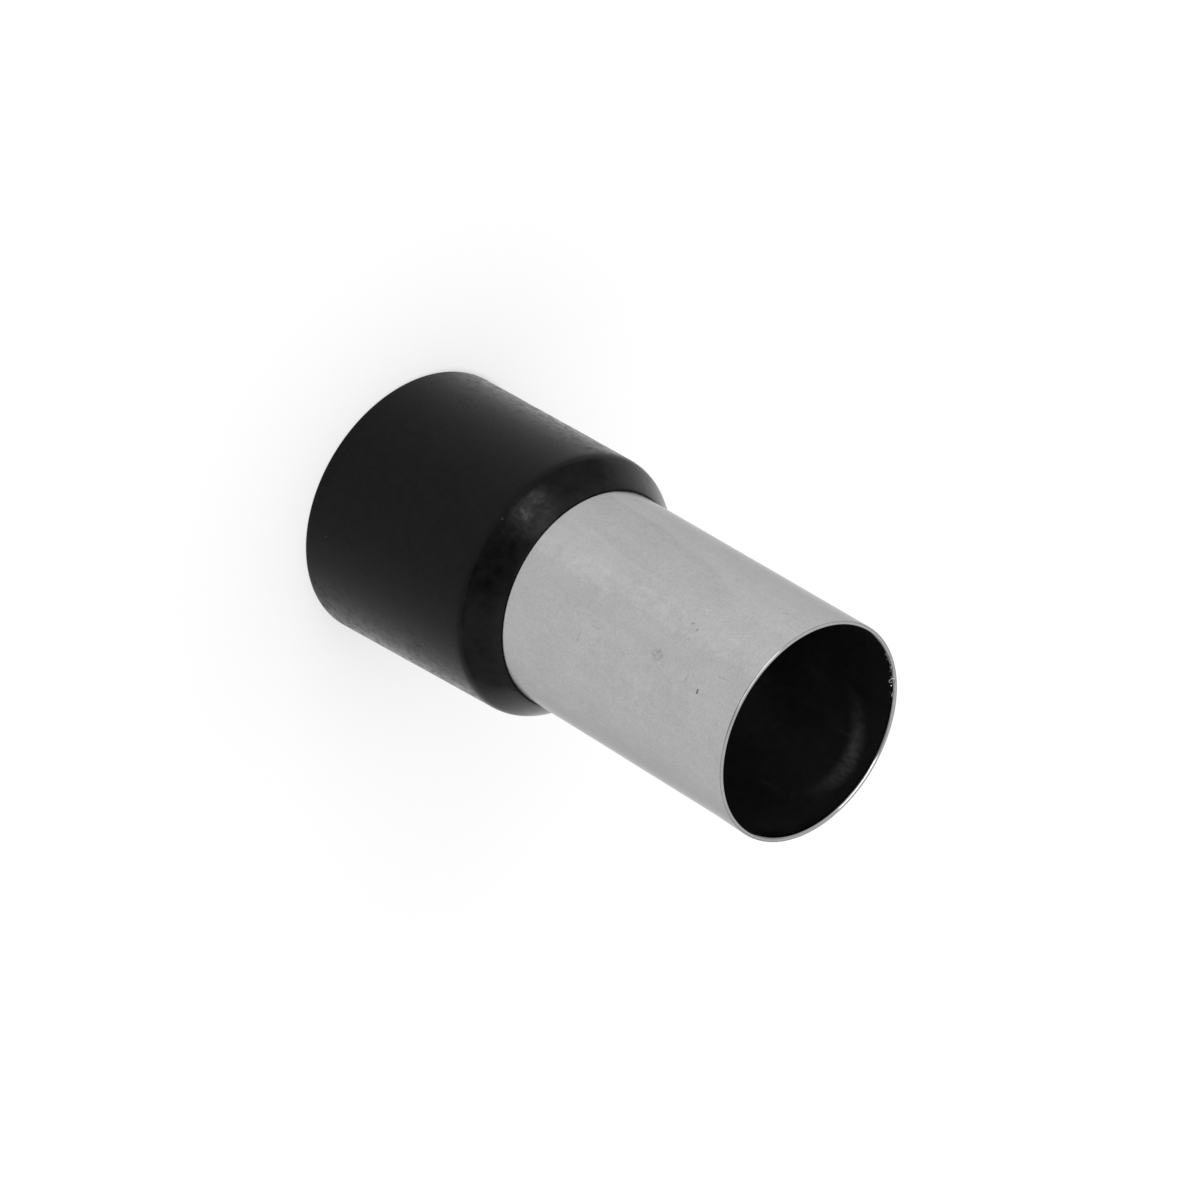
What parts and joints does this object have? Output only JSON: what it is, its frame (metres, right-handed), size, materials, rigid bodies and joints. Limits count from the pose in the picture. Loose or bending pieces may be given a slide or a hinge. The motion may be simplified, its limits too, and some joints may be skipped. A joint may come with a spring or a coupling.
{
  "type": "insulated wire ferrule",
  "caption": "Insulated wire ferrule: a thin metal tube for stranded wire, flared at the back inside a black plastic collar with a sloping shoulder and a wide mouth.",
  "frame": {"origin": "centre of the collar's mouth, on the surface that the ferrule stands on", "axes": "+Z along the axis, from the collar's mouth to the tip of the bare tube; X and Y are square to it"},
  "size_m": [0.018, 0.018, 0.0365],
  "materials": {
    "tinned_copper": "satin",
    "black_plastic": "satin"
  },
  "bodies": {
    "root": {"sleeve": "tinned_copper", "collar": "black_plastic"}
  },
  "joints": []
}
